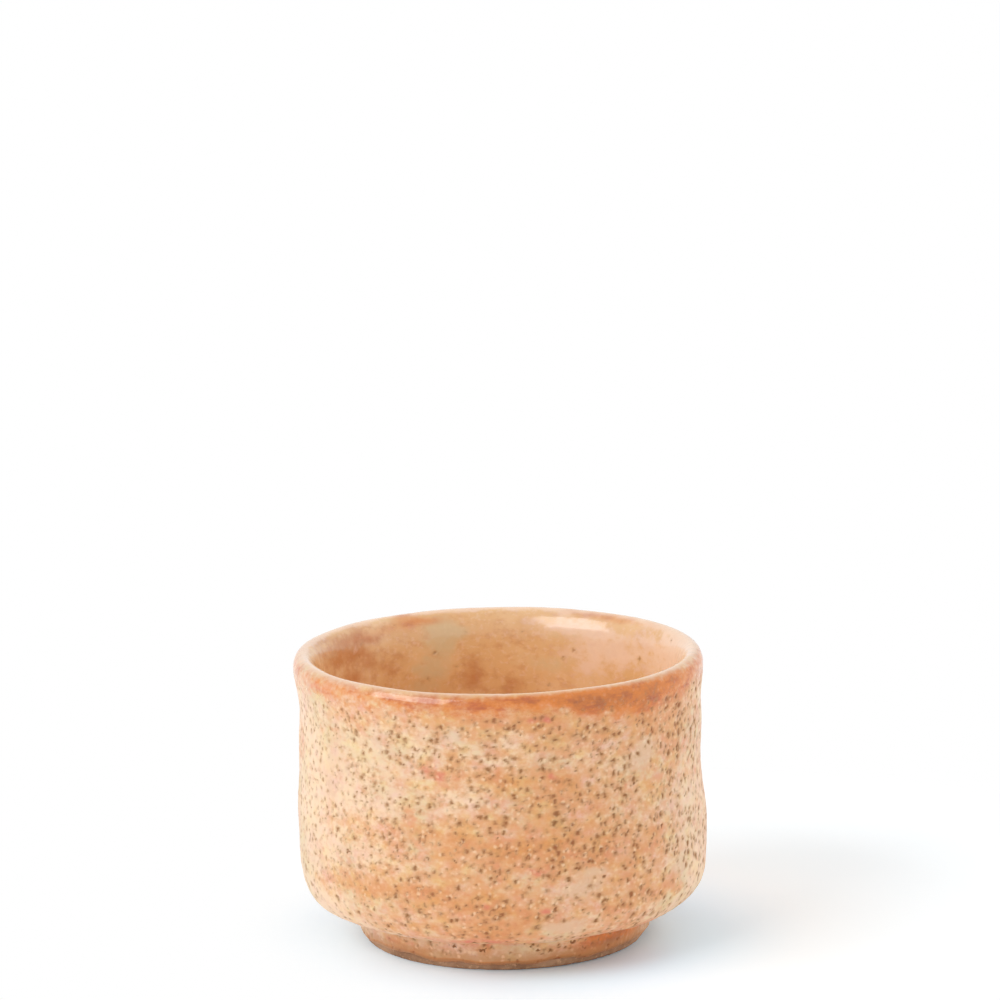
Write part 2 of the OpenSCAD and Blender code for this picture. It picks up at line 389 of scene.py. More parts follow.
# Pinholes: size of their cells, half width of a pit, share of the cells in use, and seed
PIT_CELLS = ((1.5, 0.51, 0.66, 41), (1.3, 0.44, 0.62, 43), (1.15, 0.31, 0.30, 47))
# What is drawn for each pit: its place in its cell, its size, its strength, and its width for its height
PIT_PLACES = (0.1, 0.9)
PIT_SIZES = (0.66, 1.2)
PIT_STRENGTHS = (0.35, 1.0)
PIT_WIDTHS = (1.0, 1.5)
# How ragged a pit's edge is, in millimetres, and the height at which cones are cut off
PIT_RAGGED = 0.13
CONE_LIMIT = 1.2
# How far the thinned glaze reaches about a pit, in half widths of the pit
HALO = 2.0
# How much fainter pits are on the lip and over which length, and their strength on the lining
LIP_FAINTER = 0.45
LIP_FAINT_FADE = 2
LINING_FAINT = 0.6
# Share of the cells that hold a pit: on the wall, how much less on hip and foot, and on the lining
PITTED_WALL = 0.92
PITTED_HIP_LESS = 0.22
PITTED_FOOT_LESS = 0.35
PITTED_LINING = 0.024
# How much that share varies in clouds, and how much of it a smooth patch takes away
PITTED_CLOUDS = 0.14
PITTED_SMOOTH_LESS = 0.85
# Where it changes, in millimetres: down the hip, on the foot, up the lip, into the bowl and on the floor
HIP_FADE = 6
FOOT_FROM_Z = 6
FOOT_FADE = 2
LIP_FROM = 2.4
LIP_FADE = 2.6
BOWL_FADE = 3
FLOOR_CLEAR = 5
FLOOR_FADE = 6

# How far ovals wander: up and down in millimetres, and round the cup. Some are held closer to their places
WANDER_H = 0.6
LOOSE_TURN = math.radians(2.2)
CLOSE_TURN = math.radians(0.7)
CLOSE_RISE = 0.3
# The band along the crest of the lip, pale glaze with a painted highlight: half its width, how pale it is,
# and how much blush and rust it loses
CREST_HALF = 1.15
CREST_PALE_AND_HIGHLIGHT = 1.15
CREST_BLUSH_LESS = 0.5
CREST_RUST_LESS = 0.9
# Painted light in the crease above the foot, a pale line that lifts its shade: half its width and its
# strength
CREASE_HALF = 0.9
CREASE_PAINTED_LIGHT = 0.35
# Blush, the orange of the glaze: everywhere, in streaks, and towards the lip from a height on
BLUSH_BASE = 0.03
BLUSH_STREAKS = 0.06
BLUSH_LIP = 0.3
BLUSH_LIP_Z = 41.6
BLUSH_LIP_FADE = 3
# Red: its mean and spread, and how much less there is under the hip, between two distances from the crease
RED_MEAN = 0.9
RED_SPREAD = 0.25
RED_UNDER_LESS = 0.6
UNDER_FROM = 0.5
UNDER_FROM_FADE = 1.5
UNDER_TO = 5.5
UNDER_TO_FADE = 2
# Rust round the lip: its strength, its clouds, and the height, wavering and softness of its lower edge
LIP_RUST = 0.58
LIP_RUST_CLOUDS = 0.06
LIP_RUST_Z = 42.2
LIP_RUST_WAVER = 0.3
LIP_RUST_FADE = 4.2
# The lining's colour: where it begins before the crest, its softness, and its streaks, which fade within
# a radius on the floor
LINING_BEFORE = 1.6
LINING_FADE = 2.2
LINING_STREAKS = 0.12
STREAKS_R = 12

# The cup leans to the left: its run for each millimetre of height, and the height about which it leans
LEAN = -0.0091
LEAN_Z = 23.5


def pit_share(azimuth, along):
    """Share of cells with a pit: high on the wall, less on the hip, the foot and smooth patches, none on
    the crest and little on the lining, each eased into the next."""
    _, height, _, _ = profile(along)
    hip = PITTED_HIP_LESS * ease((BELLY_Z - height) / HIP_FADE)
    foot = PITTED_FOOT_LESS * ease((FOOT_FROM_Z - height) / FOOT_FADE)
    outside = PITTED_WALL - hip - foot + PITTED_CLOUDS * waves(azimuth, along, PIT_CLOUDS)
    outside = outside * (1 - np.clip(patches(azimuth, height, SMOOTH), 0, 1) * PITTED_SMOOTH_LESS)
    outside = outside * ease((BAND + LIP_FROM + stripes(azimuth, PITTED_LIP) - along) / LIP_FADE)
    inside = ease((along - CREST) / BOWL_FADE) * ease((CENTRE - along - FLOOR_CLEAR) / FLOOR_FADE)
    return np.where(along < CREST, outside, PITTED_LINING * inside)


def pinholes(azimuth, along):
    """Two fields over scattered pits, one to a jittered cell of a grid round the cup: cones for the pits,
    and wider cones for the thinned glaze about them. At a point, the highest cone of nine cells counts.
    The large single pits are added to the first."""
    radius, height, _, _ = profile(along)
    holes = np.zeros(np.broadcast(azimuth, along).shape)
    halos = np.zeros_like(holes)
    ragged = PIT_RAGGED * waves(azimuth, along, RAGGED)
    for cell, size, filled, seed in PIT_CELLS:
        draw = np.random.default_rng(seed)
        around = round(TURN * BELLY_R / cell)
        upward = math.ceil(CENTRE / cell)
        cells = (upward, around)
        middle_turn = (np.arange(around) + draw.uniform(*PIT_PLACES, cells)) * TURN / around
        middle_along = (np.arange(upward)[:, None] + draw.uniform(*PIT_PLACES, cells)) * cell
        half = size * draw.uniform(*PIT_SIZES, cells)
        kept = draw.random(cells) < pit_share(middle_turn, middle_along) * filled
        outside = 1 - stripes(middle_turn, FAINT_PITS)
        outside = outside * (1 - LIP_FAINTER * ease((middle_along - BAND) / LIP_FAINT_FADE))
        faint = np.where(middle_along < CREST, outside, LINING_FAINT)
        strength = np.where(kept, draw.uniform(*PIT_STRENGTHS, cells), 0) * faint
        flat = draw.uniform(*PIT_WIDTHS, cells)
        column = np.floor(azimuth / TURN * around).astype(int)
        row = np.floor(along / cell).astype(int)
        for up in (-1, 0, 1):
            for side in (-1, 0, 1):
                near = np.clip(row + up, 0, upward - 1), (column + side) % around
                turn = (azimuth - middle_turn[near] + np.pi) % TURN - np.pi
                rise = along - middle_along[near] + ragged
                gap = np.hypot(turn * radius / flat[near], rise) / half[near]
                holes = np.maximum(holes, strength[near] * np.clip(1 - gap, 0, 1))
                halos = np.maximum(halos, strength[near] * np.clip(1 - gap / HALO, 0, 1))
    for middle, level, half_w, half_h, depth in BURST_PITS:
        turn = (azimuth - math.radians(middle) + np.pi) % TURN - np.pi
        gap = np.hypot((turn * radius + ragged) / half_w, (height - level + ragged) / half_h)
        burst = np.clip(1 - gap, 0, 1) * depth / PIT_DEPTH
        holes = np.maximum(holes, np.where(along < CREST, burst, 0))
    return np.clip(holes, 0, CONE_LIMIT), halos


def relief_field(along, holes, gloss):
    """Relief of the glaze in millimetres: slow swell, finger marks and fine skin, stilled in the middle of
    the floor, less a smooth step of the pits' cones, plus a bell curve for the pits' rims."""
    radius, height, _, _ = profile(along)
    calm = 1 - CALMED * gloss
    skin = SWELL_H * calm * waves(AZIMUTH, along, SWELL) + SKIN_H * calm * waves(AZIMUTH, along, SKIN)
    marks = np.where(along < CREST, patches(AZIMUTH, height, FINGER_MARKS), 0)
    pits = PIT_DEPTH * holes ** 2 * (3 - 2 * np.clip(holes, 0, 1))
    rims = PIT_RIM * bell((holes - RIM_AT) / RIM_HALF) * (holes > 0)
    return np.clip((skin + marks) * ease(radius / STILL_R) - pits + rims, *RELIEF_LIMITS)


def colour_shares(along):
    """Shares of the colours in the glaze: sums of soft ovals that wander with random waves, streaks, and
    the bands of the lip, the crest and the crease. The crest's band is pale glaze with a painted highlight,
    the crease's band is painted light, and the lining's peach ovals are painted light and highlights."""
    radius, height, _, _ = profile(along)
    outside = along < CREST
    streak = waves(AZIMUTH, along, STREAKS)
    warp = waves(AZIMUTH, along, WARP)
    wander = WANDER_H * waves(AZIMUTH, along, WANDER)
    loose = AZIMUTH + LOOSE_TURN * warp, height + wander
    close = AZIMUTH + CLOSE_TURN * warp, height + CLOSE_RISE * wander
    crest = bell((along - CREST) / CREST_HALF)
    blush = BLUSH_BASE + BLUSH_STREAKS * streak + BLUSH_LIP * ease((height - BLUSH_LIP_Z) / BLUSH_LIP_FADE)
    blush = blush + patches(AZIMUTH, height, WARM_SIDES) + patches(*loose, ORANGE)
    blush = blush * (1 - CREST_BLUSH_LESS * crest)
    under = ease((along - CREASE - UNDER_FROM) / UNDER_FROM_FADE)
    under = under * ease((CREASE + UNDER_TO - along) / UNDER_TO_FADE)
    red = patches(*close, RED) * (RED_MEAN + RED_SPREAD * warp) * (1 - RED_UNDER_LESS * under)
    rust = LIP_RUST + stripes(AZIMUTH, RUSTY_LIP) + LIP_RUST_CLOUDS * waves(AZIMUTH, along, LIP_CLOUDS)
    lower_edge = LIP_RUST_Z - stripes(AZIMUTH, DEEPER_RUST) + LIP_RUST_WAVER * warp
    rust = rust * ease((height - lower_edge) / LIP_RUST_FADE) * (1 - CREST_RUST_LESS * crest)
    # Rust on the foot, its strong oval on the right partly painted shade
    rust = np.where(outside, rust + patches(*close, FOOT_RUST_AND_SHADE), patches(*close, RUSTY_LINING))
    tone = LINING_STREAKS * streak * ease(radius / STREAKS_R)
    tone = tone + patches(*close, BROWN_LINING) - patches(*close, PALE_LINING)
    # Smooth pale patches outside; inside, painted light and painted highlights in peach where the key lamp
    # falls
    smooth = np.where(outside, patches(*close, SMOOTH), patches(*close, LINING_PAINTED_LIGHT))
    # The crest's pale band: pale glaze and a painted highlight
    smooth = smooth + CREST_PALE_AND_HIGHLIGHT * crest * (1 - stripes(AZIMUTH, DULL_CREST))
    # Painted light along the crease above the foot, lifting its shade
    smooth = smooth + CREASE_PAINTED_LIGHT * bell((along - CREASE) / CREASE_HALF)
    lining = ease((along - CREST + LINING_BEFORE) / LINING_FADE) * np.ones_like(AZIMUTH)
    return {
        "blush": np.where(outside, blush, tone), "red": np.where(outside, red, 0),
        "smooth": smooth, "rust": rust, "lining": lining,
    }


def coat_fields(along):
    """Relief of a coat and the shares that colour it, on a grid round the cup at distances along the
    profile: pits and thinned glaze, gloss eased in over the lip's band, and the shares of the colours."""
    holes, halos = pinholes(AZIMUTH, along)
    gloss = ease((along - BAND) / GLOSS_FADE) * np.ones_like(AZIMUTH)
    relief = relief_field(along, holes, gloss)
    return {"relief": relief, "pinhole": holes, "halo": halos, "gloss": gloss, **colour_shares(along)}


# Meshes

# Least length that a normal is divided by
TINY = 1e-12


def turned_points(r, z):
    """Points (x, y, z) in metres: the radius swung to the azimuth, with the lean of the cup."""
    r, z = np.broadcast_arrays(r + 0 * AZIMUTH, z + 0 * AZIMUTH)
    x = r * np.sin(AZIMUTH) + LEAN * (z - LEAN_Z)
    return np.stack([x, -r * np.cos(AZIMUTH), z], axis=-1) * MM


def band(first, second):
    """Quads between two rows of corners that run round the cup."""
    return np.stack([first, np.roll(first, -1, -1), np.roll(second, -1, -1), second], -1).reshape(-1, 4)


def mesh_piece(name, points, quads, triangles, flat, shares, normals, material, node):
    """A mesh of the points and faces, flat-shaded where told, riding on the cup in place of a node. Its
    corners take the normals given for their points, apart from the flat faces and where these are zero."""
    loops = np.concatenate([quads.ravel(), triangles.ravel()])
    starts = np.concatenate([np.arange(len(quads)) * 4, len(quads) * 4 + np.arange(len(triangles)) * 3])
    mesh = bpy.data.meshes.new(name)
    mesh.vertices.add(len(points))
    mesh.vertices.foreach_set("co", points.ravel())
    mesh.loops.add(len(loops))
    mesh.loops.foreach_set("vertex_index", loops)
    mesh.polygons.add(len(starts))
    mesh.polygons.foreach_set("loop_start", starts)
    curved = np.concatenate([~flat, np.ones(len(triangles), bool)])
    mesh.polygons.foreach_set("use_smooth", curved)
    mesh.update(calc_edges=True)
    mesh.validate()
    for share, values in shares.items():
        layer = mesh.attributes.new(share, "FLOAT", "POINT")
        layer.data.foreach_set("value", values.ravel().astype(np.float32))
    corners = np.diff(np.append(starts, len(loops)))
    mesh.normals_split_custom_set(normals[loops] * np.repeat(curved, corners)[:, None])
    mesh.materials.append(material)
    piece = bpy.data.objects.new(name, mesh)
    bpy.context.collection.objects.link(piece)
    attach(piece, "root")
    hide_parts(node)
    return piece


def grid_normals(points):
    """Unit normals of a grid but for its first and last row: the step round the cup crossed with the step
    along the profile, each taken from the neighbour on one side to the neighbour on the other."""
    around = (np.roll(points, -1, 1) - np.roll(points, 1, 1))[1:-1]
    forward = points[2:] - points[:-2]
    normals = np.cross(around, forward)
    return normals / np.maximum(np.linalg.norm(normals, axis=-1, keepdims=True), TINY)


def shell(name, outer, inner, shares, material, node, poles=False, inward=False):
    """Closed coat between an outer and an inner grid of points, with a row for each distance along the
    profile and a column for each azimuth. The outer grid has a spare row before and after it, for its
    normals alone. The first rows are capped. The last rows are too, or each becomes one point, a pole."""
    normals = grid_normals(outer)
    outer = outer[1:-1]
    tips = np.zeros((0, 3))
    tip_normals = np.zeros((0, 3))
    tip_shares = dict.fromkeys(shares, ())
    if poles:
        tips = np.stack([outer[-1].mean(0), inner[-1].mean(0)])
        tip_normals = np.array([(0, 0, 1), (0, 0, 0)])
        tip_shares = {key: (values[-1].mean(), 0) for key, values in shares.items()}
        outer, inner, normals = outer[:-1], inner[:-1], normals[:-1]
        shares = {key: values[:-1] for key, values in shares.items()}
    front = np.arange(len(outer) * COLUMNS).reshape(-1, COLUMNS)
    back = front.size + np.arange(len(inner) * COLUMNS).reshape(-1, COLUMNS)
    points = np.concatenate([outer.reshape(-1, 3), inner.reshape(-1, 3), tips])
    normals = np.concatenate([normals.reshape(-1, 3), np.zeros((back.size, 3)), tip_normals])
    behind = np.zeros(back.size)
    values = {key: np.concatenate([v.ravel(), behind, tip_shares[key]]) for key, v in shares.items()}
    sides = [band(front[:-1], front[1:]), band(back[:-1], back[1:])[:, ::-1]]
    caps = [band(back[0], front[0])]
    triangles = np.zeros((0, 3), int)
    if poles:
        top, under = np.full(COLUMNS, len(points) - 2), np.full(COLUMNS, len(points) - 1)
        triangles = np.concatenate([
            np.stack([front[-1], np.roll(front[-1], -1), top], -1),
            np.stack([np.roll(back[-1], -1), back[-1], under], -1),
        ])
    else:
        caps.append(band(front[-1], back[-1]))
    quads = np.concatenate(sides + caps)
    flat = np.arange(len(quads)) >= sum(map(len, sides))
    if inward:
        quads = quads[:, ::-1]
        triangles = triangles[:, ::-1]
        normals = -normals
    return mesh_piece(name, points, quads, triangles, flat, values, normals, material, node)


def even(start, end, step):
    """Distances from start to end as a column, in steps no longer than step."""
    return np.linspace(start, end, math.ceil((end - start) / step) + 1)[:, None]


def with_spares(along):
    """The distances with one more at either end, a step farther on."""
    return np.concatenate([2 * along[:1] - along[1:2], along, 2 * along[-1:] - along[-2:-1]])


# Rows that close a coat behind
BACK_ROWS = 12


def bowl_coat(name, along, material, node, poles=False, back_rows=BACK_ROWS):
    """Coat of glaze on a stretch of the bowl: the profile moved out along its normal by the relief, and
    closed behind by a few rows of the same profile moved in by the thickness of the glaze."""
    spread = np.clip(with_spares(along), 0, CENTRE)
    fields = coat_fields(spread)
    relief = fields.pop("relief")
    fields = {key: values[1:-1] for key, values in fields.items()}
    r, z, out_r, out_z = profile(spread)
    outer = turned_points(np.maximum(r + relief * out_r, 0), z + relief * out_z)
    back = along[np.unique(np.linspace(0, len(along) - 1, back_rows).astype(int))]
    r, z, out_r, out_z = profile(back)
    inner = turned_points(np.maximum(r - GLAZE_T * out_r, 0), z - GLAZE_T * out_z)
    return shell(name, outer, inner, fields, material, node, poles)


# Looks

def srgb(red, green, blue):
    """Linear colour of an 8-bit screen colour, by the standard curve: a line near black, then a power."""
    share = np.array([red, green, blue]) / 255
    linear = np.where(share <= 0.04045, share / 12.92, ((share + 0.055) / 1.055) ** 2.4)
    return (*linear.tolist(), 1.0)


# Places of the share, the two colours and the result on a node that mixes colours
MIX_INPUTS = (0, 6, 7)
MIX_RESULT = 2


class Wiring:
    """Short ways to add nodes to one tree. Inputs are sockets to wire or plain values to set."""

    def __init__(self, tree):
        self.tree = tree

    def add(self, kind, inputs, **settings):
        """A new node with its settings made and its inputs wired or set."""
        made = self.tree.nodes.new(kind)
        for name, value in settings.items():
            setattr(made, name, value)
        for key, value in inputs.items():
            if isinstance(value, bpy.types.NodeSocket):
                self.tree.links.new(value, made.inputs[key])
            else:
                made.inputs[key].default_value = value
        return made

    def sums(self, operation, first, second):
        """Result of one arithmetic operation."""
        return self.add("ShaderNodeMath", {0: first, 1: second}, operation=operation).outputs[0]

    def times(self, first, second):
        """Product of two values."""
        return self.sums("MULTIPLY", first, second)

    def step(self, value, low, high):
        """Smooth step: 0 at low, 1 at high."""
        inputs = {"Value": value, "From Min": low, "From Max": high}
        return self.add("ShaderNodeMapRange", inputs, interpolation_type="SMOOTHSTEP").outputs[0]

    def blend(self, share, first, second, way="MIX"):
        """Colour from the first, at share 0, to the second or to the product of both, at share 1."""
        inputs = dict(zip(MIX_INPUTS, (share, first, second)))
        made = self.add("ShaderNodeMix", inputs, data_type="RGBA", blend_type=way)
        return made.outputs[MIX_RESULT]

    def noise(self, recipe):
        """Cloudy noise from 0 to 1, by a recipe such as those below."""
        stretch, shift, scale, detail, roughness = recipe
        inputs = {"Scale": scale, "Detail": detail, "Roughness": roughness}
        inputs["Vector"] = self.place(stretch, shift)
        return self.add("ShaderNodeTexNoise", inputs).outputs[0]

    def stir(self, value, noise, amount):
        """The value with noise, centred on 0, added to it."""
        centred = self.sums("SUBTRACT", noise, 0.5)
        inputs = {0: centred, 1: amount, 2: value}
        return self.add("ShaderNodeMath", inputs, operation="MULTIPLY_ADD").outputs[0]

    def place(self, stretch=(1, 1, 1), shift=(0, 0, 0)):
        """Place on the object, stretched and shifted."""
        here = self.add("ShaderNodeTexCoord", {}).outputs["Object"]
        inputs = {"Vector": here, "Location": shift, "Scale": stretch}
        return self.add("ShaderNodeMapping", inputs).outputs[0]

    def share(self, name):
        """A share that the mesh carries at its points."""
        return self.add("ShaderNodeAttribute", {}, attribute_name=name).outputs["Fac"]

    def surface(self, colour, rough, normal):
        """Wires a colour, a roughness and a normal to the tree's shader, and gives that shader."""
        shader = self.tree.nodes["Principled BSDF"]
        for name, value in (("Base Color", colour), ("Roughness", rough), ("Normal", normal)):
            self.tree.links.new(value, shader.inputs[name])
        return shader


def node_group(name, inputs, outputs):
    """An empty shader node group with named value inputs and named outputs, and its two end nodes."""
    group = bpy.data.node_groups.new(name, "ShaderNodeTree")
    for socket in inputs:
        group.interface.new_socket(socket, in_out="INPUT", socket_type="NodeSocketFloat")
    for socket, kind in outputs.items():
        group.interface.new_socket(socket, in_out="OUTPUT", socket_type="NodeSocket" + kind)
    return group, group.nodes.new("NodeGroupInput"), group.nodes.new("NodeGroupOutput")


# Colours of the glaze, as fired; some of them are also painted light, highlights, glints and shade
CREAM = srgb(244, 211, 176)
CREAM_COOL = srgb(224, 200, 158)
CREAM_PINK = srgb(236, 194, 169)
PEACH = srgb(232, 184, 146)
ORANGE_GLAZE = srgb(225, 158, 102)
ORANGE_DEEP = srgb(212, 134, 74)
SALMON = srgb(220, 118, 92)
RUST = srgb(224, 130, 48)
RUST_RED = srgb(200, 104, 52)
# Darkest rust, also painted shade low on the foot
RUST_DARK_AND_SHADE = srgb(160, 88, 46)
# Cream of smooth patches, also the painted light of the crest and the crease
SMOOTH_CREAM_AND_PAINTED_LIGHT = srgb(228, 191, 157)
# Painted glint: light caught on the pits' raised rims
PAINTED_GLINT = srgb(252, 218, 178)
# Tan of thinned glaze, also painted shade low on the foot
PIT_TAN_AND_SHADE = srgb(192, 140, 86)
PIT_BROWN = srgb(140, 90, 40)
PIT_RUST = srgb(154, 86, 42)
LINING_TAN = srgb(236, 188, 132)
LINING_PALE = srgb(226, 196, 150)
LINING_BROWN = srgb(206, 138, 86)
LINING_PEACH = srgb(244, 202, 152)
# Pale flecks of the lining, also its painted light and painted highlights
LINING_FLECK_AND_PAINTED_LIGHT = srgb(255, 222, 196)
# Shares that a coat carries and its glaze is fired by
SHARES = ("Pinhole", "Halo", "Blush", "Red", "Smooth", "Rust", "Lining")
# Tints that fire into the glaze, as factors of its colour
PINK_TINT = (1.0, 0.945, 1.10, 1)
GOLD_TINT = (1.0, 1.01, 0.80, 1)

# Noises in the glaze: stretch and shift of the place, cycles a metre, detail and roughness
CLOUD_NOISE = ((1, 1, 1), (0, 0, 0), 95, 3, 0.55)
BLOOM_NOISE = ((1, 1, 1), (0.9, 0.2, 0.7), 140, 3, 0.55)
STREAK_NOISE = ((60, 60, 330), (0, 0, 0), 1, 4, 0.6)
FLECK_NOISE = ((1, 1, 1.5), (0.3, 0.1, 0.2), 430, 3, 0.6)
MOTTLE_NOISE = ((1, 1, 1.3), (0.5, 0.9, 0.4), 950, 2, 0.6)
GRAIN_NOISE = ((1, 1, 1), (0.7, 0.4, 0.1), 1900, 2, 0.6)
TINT_NOISE = ((1, 1, 1.2), (0.15, 0.6, 0.85), 330, 2, 0.6)
SMEAR_NOISE = ((300, 300, 760), (0.4, 0.8, 0.3), 1, 3, 0.6)
# Cells a metre that may hold a painted glint, a pale dot
GLINT_CELLS = 1150


def kiln_colour():
    """Group that fires the glaze: cream, clouded and flecked, turned orange, red, rust or tan by the shares
    that the coat carries, with brown pinholes, painted glints, painted highlights and light on crest,
    crease and lining, and painted shade low on the foot. It also gives the pit mask and a fine height."""
    results = {"Color": "Color", "Pit": "Float", "Grain": "Float"}
    group, start, end = node_group("Kiln colour", SHARES, results)
    wire = Wiring(group)
    take = start.outputs
    cloud = wire.noise(CLOUD_NOISE)
    bloom = wire.noise(BLOOM_NOISE)
    streak = wire.noise(STREAK_NOISE)
    fleck = wire.noise(FLECK_NOISE)
    mottle = wire.noise(MOTTLE_NOISE)
    grain = wire.noise(GRAIN_NOISE)
    tint = wire.noise(TINT_NOISE)
    smear = wire.noise(SMEAR_NOISE)

    # Cream, cool and pink in clouds, and orange where it blushes
    colour = wire.blend(wire.step(cloud, 0.38, 0.66), CREAM, CREAM_COOL)
    colour = wire.blend(wire.times(wire.step(bloom, 0.52, 0.72), 0.7), colour, CREAM_PINK)
    peach = wire.times(wire.step(fleck, 0.40, 0.68), wire.step(take["Blush"], -0.1, 0.5))
    colour = wire.blend(peach, colour, PEACH)
    mottled = wire.stir(wire.stir(take["Blush"], mottle, 0.8), fleck, 0.7)
    mottled = wire.stir(mottled, streak, 0.4)
    colour = wire.blend(wire.step(mottled, -0.05, 1.0), colour, ORANGE_GLAZE)
    colour = wire.blend(wire.step(mottled, 0.75, 1.5), colour, ORANGE_DEEP)

    # Pink and gold tints, stronger where it blushes
    tinted = {"Value": take["Blush"], "From Min": -0.2, "From Max": 0.5, "To Min": 0.45}
    tinted = wire.add("ShaderNodeMapRange", tinted).outputs[0]
    pink = wire.times(wire.step(tint, 0.48, 0.70), tinted)
    colour = wire.blend(pink, colour, PINK_TINT, "MULTIPLY")
    gold = wire.times(wire.step(tint, 0.50, 0.28), tinted)
    colour = wire.blend(gold, colour, GOLD_TINT, "MULTIPLY")

    # Tan lining with brown and light flecks, run to brown or clouded pale
    lining = wire.blend(wire.step(cloud, 0.4, 0.65), LINING_TAN, LINING_PEACH)
    lining = wire.blend(wire.times(wire.step(fleck, 0.48, 0.70), 0.34), lining, LINING_BROWN)
    lining = wire.blend(wire.times(wire.step(mottle, 0.50, 0.70), 0.26), lining, LINING_FLECK_AND_PAINTED_LIGHT)
    pooled = wire.stir(wire.stir(take["Blush"], bloom, 1.6), fleck, 1.0)
    lining = wire.blend(wire.step(pooled, 0.0, 1.2), lining, LINING_BROWN)
    lining = wire.blend(wire.step(pooled, -0.1, -1.2), lining, LINING_PALE)
    colour = wire.blend(take["Lining"], colour, lining)

    # Smooth, pale places, and painted light: the crest's painted highlight, the crease's painted light, and
    # the lining's painted light and highlights
    smooth = wire.stir(wire.stir(take["Smooth"], fleck, 1.6), bloom, 1.4)
    light = wire.blend(take["Lining"], SMOOTH_CREAM_AND_PAINTED_LIGHT, LINING_FLECK_AND_PAINTED_LIGHT)
    colour = wire.blend(wire.times(wire.step(smooth, 0.25, 1.0), 0.75), colour, light)

    # Rust, smeared and scorched, and red; the darkest rust, low on the foot, is also painted shade
    calm = wire.sums("SUBTRACT", 1.0, wire.times(take["Lining"], 0.75))
    rusty = wire.stir(take["Rust"], mottle, wire.times(calm, 0.8))
    rusty = wire.stir(rusty, smear, wire.times(calm, 1.1))
    rust = wire.blend(wire.step(wire.stir(streak, smear, 0.8), 0.4, 0.7), RUST, RUST_RED)
    colour = wire.blend(wire.step(rusty, 0.0, 1.0), colour, rust)
    scorched_and_shaded = wire.stir(wire.stir(rusty, fleck, 1.0), streak, 1.0)
    colour = wire.blend(wire.step(scorched_and_shaded, 0.65, 1.95), colour, RUST_DARK_AND_SHADE)
    colour = wire.blend(wire.step(wire.stir(take["Red"], fleck, 1.0), 0.15, 1.2), colour, SALMON)

    # Glaze thinned to tan about the pits and, low on the foot, as painted shade; and painted glints as pale
    # dots, stronger beside pits, weaker on rust and lining
    thin_and_shade = wire.step(wire.stir(take["Halo"], mottle, 0.6), 0.10, 0.80)
    colour = wire.blend(wire.times(thin_and_shade, 0.7), colour, PIT_TAN_AND_SHADE)
    cells = wire.add("ShaderNodeTexVoronoi", {"Vector": wire.place(), "Scale": GLINT_CELLS}).outputs
    drawn = wire.add("ShaderNodeSeparateColor", {"Color": cells["Color"]}).outputs[0]
    glint = wire.step(wire.stir(cells["Distance"], grain, 0.7), 0.50, 0.08)
    glint = wire.times(glint, wire.step(drawn, 0.2, 0.8))
    plain = wire.sums("SUBTRACT", 1.0, wire.sums("ADD", take["Rust"], take["Lining"]))
    plain = wire.add("ShaderNodeClamp", {"Value": plain, "Min": 0.18, "Max": 0.52}).outputs[0]
    beside = {"Value": take["Halo"], "From Max": 0.3, "To Min": 0.5}
    beside = wire.add("ShaderNodeMapRange", beside).outputs[0]
    colour = wire.blend(wire.times(wire.times(glint, plain), beside), colour, PAINTED_GLINT)

    # Brown pinholes, redder on orange and rust
    pit = wire.step(wire.stir(take["Pinhole"], grain, 0.5), 0.10, 0.80)
    stained = wire.step(wire.sums("ADD", mottled, take["Rust"]), 0.4, 1.1)
    brown = wire.blend(stained, PIT_BROWN, PIT_RUST)
    colour = wire.blend(wire.times(pit, 0.95), colour, brown)
    group.links.new(colour, end.inputs["Color"])
    group.links.new(pit, end.inputs["Pit"])
    group.links.new(grain, end.inputs["Grain"])
    return group


# Finish of the glaze: how it bends light, its roughness where it is satin and where it is glossy, how much
# rougher pits are, how much the grain varies that, and the depth of the grain in metres
GLAZE_IOR = 1.6
SATIN = 0.38
GLOSSY = 0.14
PIT_ROUGHER = 0.32
GRAIN_ROUGHER = 0.16
GRAIN_DEPTH = 0.00006


def glaze(name, fire, bump):
    """Glaze with the fired colour over a fine grain: satin on the wall, glossy where its gloss share says,
    and rough in the pits."""
    material = bpy.data.materials.new(name)
    material.use_nodes = True
    wire = Wiring(material.node_tree)
    fired = wire.add("ShaderNodeGroup", {}, node_tree=fire)
    for share in SHARES:
        material.node_tree.links.new(wire.share(share.lower()), fired.inputs[share])
    finish = {"Value": wire.share("gloss"), "To Min": SATIN, "To Max": GLOSSY}
    finish = wire.add("ShaderNodeMapRange", finish).outputs[0]
    pitted = {0: fired.outputs["Pit"], 1: PIT_ROUGHER, 2: finish}
    rough = wire.add("ShaderNodeMath", pitted, operation="MULTIPLY_ADD").outputs[0]
    rough = wire.stir(rough, fired.outputs["Grain"], GRAIN_ROUGHER)
    raised = {"Height": fired.outputs["Grain"], "Strength": bump, "Distance": GRAIN_DEPTH}
    raised = wire.add("ShaderNodeBump", raised).outputs[0]
    shader = wire.surface(fired.outputs["Color"], rough, raised)
    shader.inputs["IOR"].default_value = GLAZE_IOR
    return material


# Bare clay: colours, noises, least and greatest roughness, and the bump and depth in metres of its grit
CLAY = srgb(188, 152, 122)
CLAY_DARK = srgb(156, 120, 92)
CLAY_GRIT = srgb(220, 184, 148)
CLAY_NOISE = ((1, 1, 1), (0, 0, 0), 160, 4, 0.6)
GRIT_NOISE = ((1, 1, 1), (0.2, 0.6, 0.3), 1300, 3, 0.65)
CLAY_SMOOTHEST = 0.7
CLAY_ROUGHEST = 0.95
GRIT_BUMP = 0.6
GRIT_DEPTH = 0.0001


